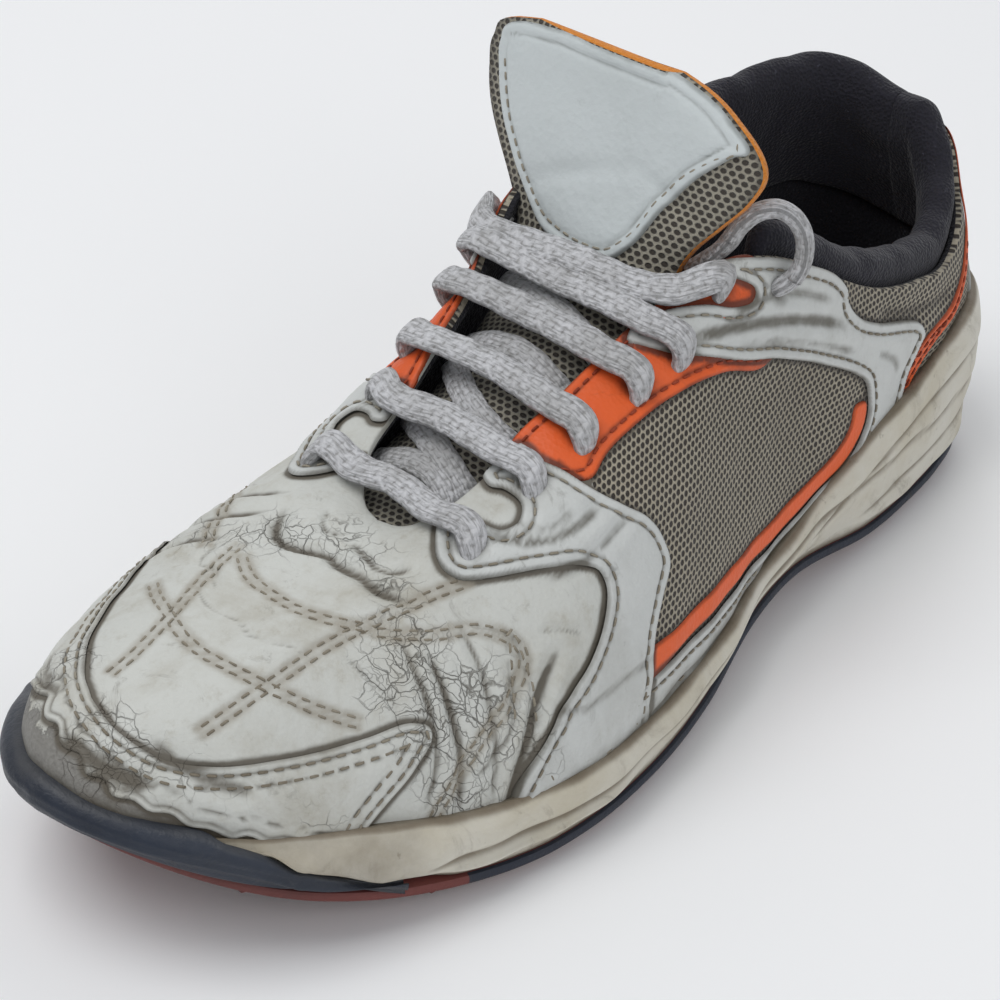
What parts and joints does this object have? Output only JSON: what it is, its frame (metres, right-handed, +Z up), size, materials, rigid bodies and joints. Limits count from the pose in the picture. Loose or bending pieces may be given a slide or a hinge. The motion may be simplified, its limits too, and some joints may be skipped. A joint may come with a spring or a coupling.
{
  "type": "running shoe",
  "caption": "Worn out low-cut running shoe for the left foot: hollow upper on a cupped midsole and lugged outsole, with padded collar, tongue and lace.",
  "frame": {"origin": "middle of the footprint's bounding box, on the ground plane that the heel and the ball stand on", "axes": "+Z up; the toe points along -Y and the heel along +Y; +X is the wearer's left, which is the outer side of this left shoe"},
  "size_m": [0.1036, 0.2872, 0.124],
  "materials": {
    "upper_leather": "off-white coated leather, creased, cracked and dirty, with beige mesh and orange panels",
    "tongue_leather": "off-white grained leather patch over beige mesh",
    "midsole_foam": "cream foam rubber, yellowed and stained",
    "bumper_rubber": "navy rubber, scuffed satin",
    "tread_rubber": "worn brick-red rubber",
    "lining": "near-black navy padded lining cloth",
    "insole_foam": "dark cloth-covered foam",
    "lace": "flat oval woven lace, grey and soiled"
  },
  "bodies": {
    "root": {"outsole": "tread_rubber", "midsole": "midsole_foam", "toe_bumper": "bumper_rubber", "upper": "upper_leather", "collar_pad": "lining", "tongue": "tongue_leather", "insole": "insole_foam", "lace_bar_1": "lace", "lace_bar_2": "lace", "lace_bar_3": "lace", "lace_bar_4": "lace", "lace_bar_5": "lace", "lace_bar_6": "lace", "lace_loop": "lace"}
  },
  "joints": []
}
